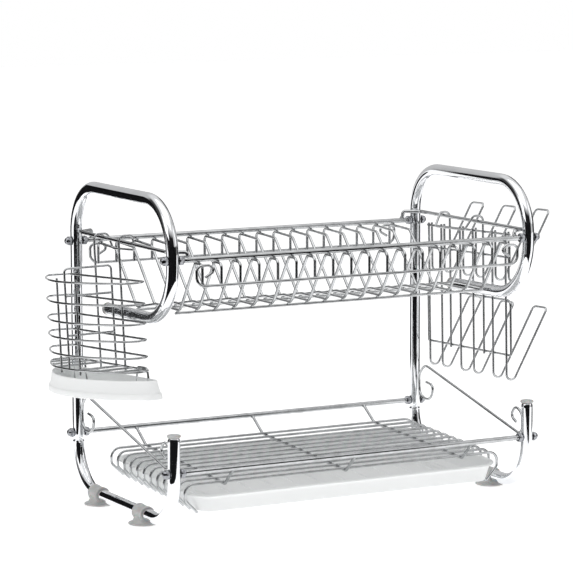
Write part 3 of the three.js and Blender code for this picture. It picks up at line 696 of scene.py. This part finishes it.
class BuildUpperFrame(RackPiece, bpy.types.Operator):
    """The two upper rails with the end bars welded on top of them"""
    bl_idname = "rack.upper_frame"
    bl_label = "Upper frame"

    def execute(self, context):
        rail = self.sizes.rail / MM
        shells = rail_shells(-SIDE_Y, UPPER_FRONT_Z, rail) + rail_shells(SIDE_Y, UPPER_REAR_Z, rail)
        for s in (-1, 1):
            shells.append(bar(end_bar_route(s), self.sizes.end_bar / MM, 16))
            shells.append(bead((s * 189, -SIDE_Y, UPPER_FRONT_Z + rail), 2.7))
            shells.append(bead((s * 189, SIDE_Y, UPPER_REAR_Z + rail), 2.7))
        piece("upper_rails", shells, once(wire_chrome), "rack", ["upper_frame"])
        return {"FINISHED"}


class BuildPlateWires(RackPiece, bpy.types.Operator):
    """The bent wires that plates stand between, with their weld beads"""
    bl_idname = "rack.plate_wires"
    bl_label = "Plate wires"

    def execute(self, context):
        radius = self.sizes.plate_wire / MM
        under = self.sizes.rail / MM + radius + GAP
        metal = once(wire_chrome)
        for i in range(PLATE_WIRES):
            x = (i - (PLATE_WIRES - 1) / 2) * PLATE_PITCH
            shells = [bar(plate_route(x, under), radius)]
            shells.append(bead((x, -SIDE_Y, UPPER_FRONT_Z - under + radius), 1.7))
            shells.append(bead((x, SIDE_Y, UPPER_REAR_Z - under + radius), 1.7))
            for y, z in (TROUGH_FRONT, TROUGH_REAR):
                shells.append(bead((x, y, z - radius), 1.6))
            node = f"plate_wire_{i + 1:02d}"
            piece(f"{node}_bend", shells, metal, "rack", [node])
        return {"FINISHED"}


class BuildLongWires(RackPiece, bpy.types.Operator):
    """The long wires across the plate wires: two scrolled ones in front and behind, two below"""
    bl_idname = "rack.long_wires"
    bl_label = "Long wires"

    def execute(self, context):
        radius = self.sizes.plate_wire / MM
        metal = once(wire_chrome)
        apart = 2 * radius + GAP
        reach = (PLATE_WIRES - 1) / 2 * PLATE_PITCH + 3
        for label, s, z in (("front", -1, SCROLL_FRONT_Z), ("rear", 1, SCROLL_REAR_Z)):
            y = s * (PLATE_FRONT_Y + apart)
            piece(f"{label}_scroll", [bar(scroll_route(y, z), radius, 12, 6)], metal, "rack",
                  [f"{label}_scroll_wire"])
        for label, (y, z) in (("front", TROUGH_FRONT), ("rear", TROUGH_REAR)):
            z -= apart
            piece(f"{label}_trough", [straight((-reach, y, z), (reach, y, z), radius)], metal, "rack",
                  [f"{label}_trough_wire"])
        return {"FINISHED"}


class BuildLowerShelf(RackPiece, bpy.types.Operator):
    """The lower rails, the three bearers and the grille wires with their curled ends"""
    bl_idname = "rack.lower_shelf"
    bl_label = "Lower shelf"

    def execute(self, context):
        sizes = self.sizes
        rail = sizes.rail / MM
        shells = rail_shells(-SIDE_Y, LOWER_FRONT_Z, rail) + rail_shells(SIDE_Y, LOWER_REAR_Z, rail)
        for x in BEARERS:
            route = [(x, -SIDE_Y, LOWER_FRONT_Z), (x, *BEARER_FRONT, 5), (x, *BEARER_REAR, 5),
                     (x, SIDE_Y, LOWER_REAR_Z)]
            shells.append(bar(route, sizes.bearer / MM, 14))
            shells.append(bead((x, -SIDE_Y + 2, LOWER_FRONT_Z - 2), 2.4))
            shells.append(bead((x, SIDE_Y - 2, LOWER_REAR_Z - 2), 2.4))
        for y in np.linspace(GRILLE_FRONT_Y, GRILLE_REAR_Y, GRILLE_WIRES):
            z = grille_z(y, sizes)
            shells.append(bar(grille_route(y, z), sizes.grille_wire / MM))
            shells.extend(bead((x, y, z - sizes.grille_wire / MM), 1.6) for x in BEARERS)
        piece("lower_grille", shells, once(wire_chrome), "rack", ["lower_shelf"])
        return {"FINISHED"}


class BuildSideGuards(RackPiece, bpy.types.Operator):
    """The sloping scrolled wire at each end, between the stub and the upright"""
    bl_idname = "rack.side_guards"
    bl_label = "Side guards"

    def execute(self, context):
        for label, s in SIDES:
            shells = [bar(guard_route(s * SIDE_X), self.sizes.guard_wire / MM, 12, 6)]
            piece(f"{label}_scroll_guard", shells, once(wire_chrome), "rack", [f"{label}_side_guard"])
        return {"FINISHED"}


def basket_shells(r):
    """The basket's wires, each a closed shell: rings, hook wire, divider, floor, posts, welds and feet."""
    step = 2 * r - WELD
    shells = []
    outline = bow(BASKET_FACE, BASKET_HALF, BASKET_BULGE, BASKET_CORNER)
    for drop in BASKET_DROPS:
        shells.append(round_bar(raised(outline, drop), r, 12, closed=True))
    up = BASKET_FACE + step
    top = 3.5 + HOOK_SPREAD * math.sin(BASKET_LEAN)
    left, right = ([(up, s * HOOK_SPREAD, BASKET_FOOT), (up, s * HOOK_SPREAD, top, 6),
                    (5.4, s * HOOK_SPREAD, top, 5), (9, s * (HOOK_SPREAD - 4), -10, 4)] for s in (-1, 1))
    shells.append(bar(left + right[::-1], r))
    far, near, mid = BASKET_FACE - BASKET_BULGE + step, BASKET_FACE + step, DIVIDER_Y
    crown = BASKET_DROPS[0] + 13
    foot = BASKET_DROPS[-1]
    shells.append(bar([(far, mid, foot), (far, mid, crown, 4), (near, mid, crown, 4), (near, mid, foot)], r))
    for z in (BASKET_DROPS[1] + 7, BASKET_DROPS[3] + 3):
        shells.append(straight((far, mid, z), (near, mid, z), r))
    for y in (-78, -52, -26, 26, 52, 78):
        shells.append(straight((bow_x(y), y, foot), (BASKET_FACE, y, foot), r))
    posts = [(bow_x(y) + step, y) for y in BASKET_POSTS]
    for x, y in posts:
        shells.append(straight((x, y, BASKET_DROPS[0] + 3), (x, y, BASKET_FOOT), r))
    for x, y in posts + [(up, -HOOK_SPREAD), (up, HOOK_SPREAD)]:
        shells.extend(bead((x, y, drop), 1.5, 0.9) for drop in BASKET_DROPS)
    low, high = CUP_TOP - CUP_HEIGHT + 5.6, foot + 2
    for y in (-ARCH_Y, ARCH_Y):
        x, a, b = BASKET_FACE - 1, y - ARCH_HALF, y + ARCH_HALF
        shells.append(bar([(x, a, low), (x, a + 5, high, 5), (x, b - 5, high, 5), (x, b, low)], r))
    return shells


class BuildCutleryBasket(RackPiece, bpy.types.Operator):
    """The half-round wire basket with its divider, hooks and feet"""
    bl_idname = "rack.cutlery_basket"
    bl_label = "Cutlery basket"

    def execute(self, context):
        shells = [moved(shell, BASKET_FRAME) for shell in basket_shells(self.sizes.basket_wire / MM)]
        piece("half_round_basket", shells, once(wire_chrome), "basket", ["cutlery_basket"])
        return {"FINISHED"}


def walled(stations, outline, matrix):
    """Moulded shell: the outline at each (inset, height) station, from the middle of the underside out
    to the lip and back in over the floor; both ends shut in the middle."""
    rings = np.array([raised(outline(inset), z) for inset, z in stations])
    middle = rings[0].mean(0) * (1, 1, 0)
    first = middle + (rings[0] - middle) * (0.02, 0.02, 1)
    last = middle + (rings[-1] - middle) * (0.02, 0.02, 1)
    half_way = [middle + (rings[i] - middle) * (0.5, 0.5, 1) for i in (0, -1)]
    rings = np.concatenate([first[None], half_way[0][None], rings, half_way[1][None], last[None]])
    return moved(tube_grid(rings), matrix)


class BuildDripCup(RackPiece, bpy.types.Operator):
    """The milky cup under the basket: flared walls, a step near the foot and a rounded lip"""
    bl_idname = "rack.drip_cup"
    bl_label = "Drip cup"

    def execute(self, context):
        def outline(inset):
            return bow(BASKET_FACE + 3.9, BASKET_HALF + 8, BASKET_BULGE + 10, CUP_CORNER, inset)

        low = CUP_TOP - CUP_HEIGHT
        stations = [(2.4, low + 0.2), (1.0, low), (0.3, low + 0.3), (0.0, low + 1.0), (0.6, low + 5.6),
                    (0.9, low + 6.1), (1.5, low + 6.4), (2.0, low + 7.0), (4.3, CUP_TOP - 1.6),
                    (4.4, CUP_TOP - 0.9), (4.7, CUP_TOP - 0.3), (5.2, CUP_TOP), (5.7, CUP_TOP - 0.3),
                    (6.0, CUP_TOP - 0.9), (5.0, low + 6.5), (4.0, low + 3.0), (4.6, low + 2.0),
                    (5.8, low + 1.7)]
        shell = walled(stations, outline, BASKET_FRAME @ Matrix.Translation((0, CUP_SHIFT, 0)))
        piece("milky_drip_cup", [shell], once(milky_plastic), "cup", ["cutlery_drip_cup"],
              40)
        return {"FINISHED"}


def prong_route(y, tier, back):
    """Two U bends side by side, whose outer legs rise, lean outwards and join at the tip."""
    lean = PRONG_RISE * math.tan(PRONG_LEAN)
    top = GLASS_TOP + 3
    half = PRONG_WIDTH / 2
    run = PRONG_TURN * 1.6
    left, right = ([(back, y + s * half, top), (back, y + s * half, tier, PRONG_TURN),
                    (back + run, y + s * half, tier, PRONG_TURN),
                    (back + run + lean, y + s * half, tier + PRONG_RISE, 5)] for s in (-1, 1))
    return left + right[::-1]


class BuildGlassHolder(RackPiece, bpy.types.Operator):
    """The hanging frame with two rows of prongs for cups and glasses"""
    bl_idname = "rack.glass_holder"
    bl_label = "Glass holder"

    def execute(self, context):
        r = self.sizes.glass_wire / MM
        step = 2 * r - WELD
        cross, front = GLASS_BACK + step, GLASS_BACK + 2 * step
        shells = []
        levels = (GLASS_TOP, UPPER_CROSS, PANEL_TOP, PANEL_FOOT)
        for z in (GLASS_TOP, UPPER_CROSS, PANEL_FOOT):
            shells.append(straight((cross, -GLASS_HALF, z), (cross, GLASS_HALF, z), r))
        shells.append(bar([(cross, -GLASS_HALF, PANEL_FOOT), (cross, -GLASS_HALF, PANEL_TOP, 6),
                           (cross, GLASS_HALF, PANEL_TOP, 6), (cross, GLASS_HALF, PANEL_FOOT)], r))
        for k in (-1, 0, 1):
            for tier, back in ((LOWER_TIER, GLASS_BACK), (UPPER_TIER, front)):
                shells.append(bar(prong_route(k * PRONG_PITCH, tier, back), r, 12, 6))
                for s in (-1, 1):
                    y = k * PRONG_PITCH + s * PRONG_WIDTH / 2
                    at = (back + cross) / 2
                    shells.extend(bead((at, y, z), 1.5, 0.9) for z in levels if z > tier)
        low = PANEL_FOOT - 3
        apart = GLASS_HOOK_SPREAD
        top = 3.6 + apart * math.sin(GLASS_LEAN)
        left, right = ([(GLASS_BACK, s * apart, low), (GLASS_BACK, s * apart, top, 6),
                        (-3.5, s * apart, top, 4), (-12.5, s * (apart - 4), -10, 3)] for s in (-1, 1))
        shells.append(bar(left + right[::-1], r))
        shells = [moved(shell, GLASS_FRAME) for shell in shells]
        piece("pronged_holder", shells, once(wire_chrome), "glasses", ["glass_holder"])
        return {"FINISHED"}


def rounded_box(half_x, low_y, high_y, corner, arc=12, runs=14):
    """Rounded rectangle, anticlockwise: four quarter arcs, each followed by a straight side in equal
    steps, so that every such outline has the same number of points."""
    turn = np.linspace(0, math.pi / 2, arc)
    points = []
    side, low, high = half_x - corner, low_y + corner, high_y - corner
    for quarter, (cx, cy) in enumerate(((side, high), (-side, high), (-side, low), (side, low))):
        angle = turn + quarter * math.pi / 2
        points.append(np.stack([cx + corner * np.cos(angle), cy + corner * np.sin(angle)], axis=-1))
    sides = []
    for i, arc_points in enumerate(points):
        start, end = arc_points[-1], points[(i + 1) % 4][0]
        share = np.linspace(0, 1, runs + 1)[1:-1, None]
        sides += [arc_points, start + (end - start) * share]
    return np.concatenate(sides)


class BuildDripTray(RackPiece, bpy.types.Operator):
    """The milky tray: sloping walls, a ledge rim with a rolled lip, and ribs on its floor"""
    bl_idname = "rack.drip_tray"
    bl_label = "Drip tray"

    def execute(self, context):
        height = TRAY_HEIGHT
        flare = TRAY_RIM_HALF - TRAY_BASE_HALF

        def outline(inset):
            beyond = max(inset - TRAY_LEDGE, 0)
            along_y = min(inset, TRAY_LEDGE) + beyond * 0.35
            corner = max(TRAY_CORNER - inset, 8)
            return rounded_box(TRAY_RIM_HALF - inset, TRAY_FRONT_Y + along_y, TRAY_REAR_Y - along_y, corner)

        stations = [(flare + 2, 0.3), (flare + 0.8, 0.05), (flare, 0.5), (flare - 0.6, 1.4),
                    (5.4, height - 5), (4.4, height - 3.2), (3.4, height - 2.5), (1.6, height - 2.2),
                    (0.6, height - 2.3), (0.15, height - 1.9), (0.0, height - 1.2), (0.25, height - 0.5),
                    (0.9, height), (2.6, height), (4.4, height - 0.15), (5.3, height - 0.8),
                    (5.9, height - 2), (flare + 1.3, 3.2), (flare + 2.0, 2.2), (flare + 3.4, 1.8)]
        turn = Matrix.Rotation(math.atan(DRAIN_SLOPE), 4, "X")
        place = Matrix.Translation((0, 0, grille_z(0, self.sizes) - TRAY_FLOOR_DROP)) @ turn
        shells = [walled(stations, outline, place)]
        for x in np.linspace(-135, 135, 11):
            rib = [(x, -88, 1.4), (x, 72, 1.4)]
            shells.append(moved(round_bar(np.array(rib, float), 1.3, 12), place))
        for low, high, half in ((-92, 76, 152), (-84, 68, 143)):
            ring = raised(rounded_box(half, low, high, 14), 1.5)
            shells.append(moved(round_bar(ring, 1.2, 10, closed=True), place))
        piece("milky_drip_tray", shells, once(milky_plastic), "tray", ["drip_tray"], 40)
        return {"FINISHED"}


# ---------------------------------------------------------------- stage

class BuildStage(RackPiece, bpy.types.Operator):
    """Pale floor, soft studio light and the camera"""
    bl_idname = "rack.stage"
    bl_label = "Floor, light and camera"

    def execute(self, context):
        scene = context.scene
        self.floor(scene)
        self.surroundings(scene)
        self.card(scene, "front_card", -118, 62, 0.45, 0.72, 0.45)
        self.card(scene, "rear_card", 128, 20, 0.6, 0.8, 0.5)
        self.card(scene, "right_card", -8, 16, 0.6, 0.9, 0.5)
        for name, at, size, power in (
            ("overhead", (-0.2, -0.3, 2.2), 2.4, 12),
            ("left", (-2.4, -0.4, 1.3), 1.6, 10),
            ("right", (2.2, -1.2, 1.4), 1.4, 6),
        ):
            light = bpy.data.lights.new(name, "AREA")
            light.size = size
            light.energy = power
            lamp = bpy.data.objects.new(name, light)
            lamp.location = at
            lamp.rotation_mode = "QUATERNION"
            lamp.rotation_quaternion = (Vector((0, 0, 0.15)) - lamp.location).to_track_quat("-Z", "Y")
            scene.collection.objects.link(lamp)
        camera = bpy.data.cameras.new("camera")
        camera.lens = 176.1
        camera.sensor_width = 36.0
        camera.clip_start, camera.clip_end = 0.05, 50
        eye = bpy.data.objects.new("camera", camera)
        forward = Vector((0.46903, 0.87341, -0.13112))
        eye.location = (-1.39233, -2.55811, 0.6085)
        eye.rotation_mode = "QUATERNION"
        roll = Matrix.Rotation(math.radians(0.134), 4, forward).to_quaternion()
        eye.rotation_quaternion = roll @ forward.to_track_quat("-Z", "Y")
        scene.collection.objects.link(eye)
        scene.camera = eye
        scene.view_settings.view_transform = "Standard"
        return {"FINISHED"}

    def floor(self, scene):
        mesh = bpy.data.meshes.new("floor")
        reach = 8.0
        corners = [(-reach, -reach, -0.0005), (reach, -reach, -0.0005), (reach, reach, -0.0005),
                   (-reach, reach, -0.0005)]
        mesh.from_pydata(corners, [], [(0, 1, 2, 3)])
        shader = Shader("pale_floor", Roughness=0.6, Emission_Strength=0.5)
        shader.surface.inputs["Emission Color"].default_value = (1, 1, 1, 1)
        speckle = shader.noise(6, 2)
        base = shader.blend(shade(finishes().floor, 1.0), shade(finishes().floor, 0.985), speckle)
        mesh.materials.append(shader.finish(base))
        floor = bpy.data.objects.new("floor", mesh)
        scene.collection.objects.link(floor)

    def card(self, scene, name, azimuth, spread, near, distance, height):
        """Black studio card, a piece of an upright cylinder whose foot is laid along the floor towards the
        rack: x = r cos(angle), y = r sin(angle), where r runs from `near` to `distance` on the floor and
        then z from 0 to `height`. Only reflections see it, so it draws dark cores on the chrome."""
        angle = np.radians(np.linspace(azimuth - spread, azimuth + spread, 25))[:, None]
        reach = np.array([near, distance, distance])
        rise = np.zeros((25, 1)) + (0.001, 0.001, height)
        verts = np.stack([reach * np.cos(angle), reach * np.sin(angle), rise], axis=-1).reshape(-1, 3)
        faces = [(3 * i + k, 3 * i + k + 1, 3 * i + k + 4, 3 * i + k + 3) for i in range(24) for k in (0, 1)]
        mesh = bpy.data.meshes.new(name)
        mesh.from_pydata(verts.tolist(), [], faces)
        shader = Shader(name, Roughness=1.0, Specular_IOR_Level=0.0)
        felt = shader.noise(12, 2)
        base = shader.blend(shade(finishes().card, 1.0), shade(finishes().card, 0.6), felt)
        mesh.materials.append(shader.finish(base))
        card = bpy.data.objects.new(name, mesh)
        scene.collection.objects.link(card)
        card.visible_camera = card.visible_diffuse = card.visible_shadow = card.visible_transmission = False

    def surroundings(self, scene):
        """White studio walls with dark upright gaps between them, which the chrome picks up as bands.
        Each stop is an angle round the rack, in degrees from +X, and the wall's brightness there."""
        world = bpy.data.worlds.new("studio")
        scene.world = world
        world.use_nodes = True
        tree = world.node_tree
        tree.nodes.clear()
        link = tree.links.new
        place = tree.nodes.new("ShaderNodeTexCoord").outputs["Generated"]
        parts = tree.nodes.new("ShaderNodeSeparateXYZ")
        link(place, parts.inputs[0])
        turn = tree.nodes.new("ShaderNodeMath")
        turn.operation = "ARCTAN2"
        link(parts.outputs[1], turn.inputs[0])
        link(parts.outputs[0], turn.inputs[1])
        share = tree.nodes.new("ShaderNodeMapRange")
        link(turn.outputs[0], share.inputs["Value"])
        share.inputs["From Min"].default_value = -math.pi
        share.inputs["From Max"].default_value = math.pi
        walls = tree.nodes.new("ShaderNodeValToRGB")
        walls.color_ramp.elements.remove(walls.color_ramp.elements[0])
        stops = (
            (-180, 0.5), (-168, 0.62), (-160, 0.02), (-78, 0.01), (-70, 0.62), (-40, 0.62), (-30, 0.12),
            (-8, 0.08), (0, 0.6), (24, 0.55), (30, 0.05), (48, 0.05), (56, 0.6), (118, 0.55),
            (126, 0.06), (152, 0.06), (160, 0.5),
        )
        first = walls.color_ramp.elements[0]
        first.position, first.color = (stops[0][0] + 180) / 360, (stops[0][1],) * 3 + (1,)
        for angle, value in stops[1:]:
            element = walls.color_ramp.elements.new((angle + 180) / 360)
            element.color = (value, value, value, 1)
        link(share.outputs[0], walls.inputs[0])
        ceiling = tree.nodes.new("ShaderNodeMapRange")
        link(parts.outputs[2], ceiling.inputs["Value"])
        ceiling.inputs["From Min"].default_value = 0.5
        ceiling.inputs["From Max"].default_value = 0.7
        blend = tree.nodes.new("ShaderNodeMix")
        blend.data_type = "RGBA"
        link(ceiling.outputs[0], blend.inputs[0])
        link(walls.outputs[0], blend.inputs[6])
        blend.inputs[7].default_value = (0.8, 0.8, 0.8, 1)
        seen = tree.nodes.new("ShaderNodeLightPath")
        shown = tree.nodes.new("ShaderNodeMix")
        shown.data_type = "RGBA"
        link(seen.outputs["Is Camera Ray"], shown.inputs[0])
        link(blend.outputs[2], shown.inputs[6])
        shown.inputs[7].default_value = (1, 1, 1, 1)
        light = tree.nodes.new("ShaderNodeBackground")
        link(shown.outputs[2], light.inputs[0])
        output = tree.nodes.new("ShaderNodeOutputWorld")
        link(light.outputs[0], output.inputs[0])


OPERATORS = (
    BuildTubes, BuildCaps, BuildFeet, BuildNuts, BuildUpperFrame, BuildPlateWires, BuildLongWires,
    BuildLowerShelf, BuildSideGuards, BuildCutleryBasket, BuildDripCup, BuildGlassHolder, BuildDripTray,
    BuildStage,
)


class RackPanel(bpy.types.Panel):
    """Sizes, finishes and the pieces of the rack"""
    bl_idname = "VIEW3D_PT_dish_rack"
    bl_label = "Dish Rack"
    bl_space_type = "VIEW_3D"
    bl_region_type = "UI"
    bl_category = "Dish Rack"

    def draw(self, context):
        for group in (context.scene.rack_sizes, context.scene.rack_finishes):
            column = self.layout.column(align=True)
            for name in group.__annotations__:
                column.prop(group, name)
        column = self.layout.column(align=True)
        for operator in OPERATORS:
            column.operator(operator.bl_idname)


CLASSES = (RackSizes, RackFinishes, *OPERATORS, RackPanel)


def register():
    for cls in CLASSES:
        bpy.utils.register_class(cls)
    bpy.types.Scene.rack_sizes = PointerProperty(type=RackSizes)
    bpy.types.Scene.rack_finishes = PointerProperty(type=RackFinishes)


def unregister():
    del bpy.types.Scene.rack_finishes
    del bpy.types.Scene.rack_sizes
    for cls in reversed(CLASSES):
        bpy.utils.unregister_class(cls)


def main():
    register()
    for operator in OPERATORS:
        getattr(bpy.ops.rack, operator.bl_idname.split(".")[1])()


if __name__ == "__main__":
    main()
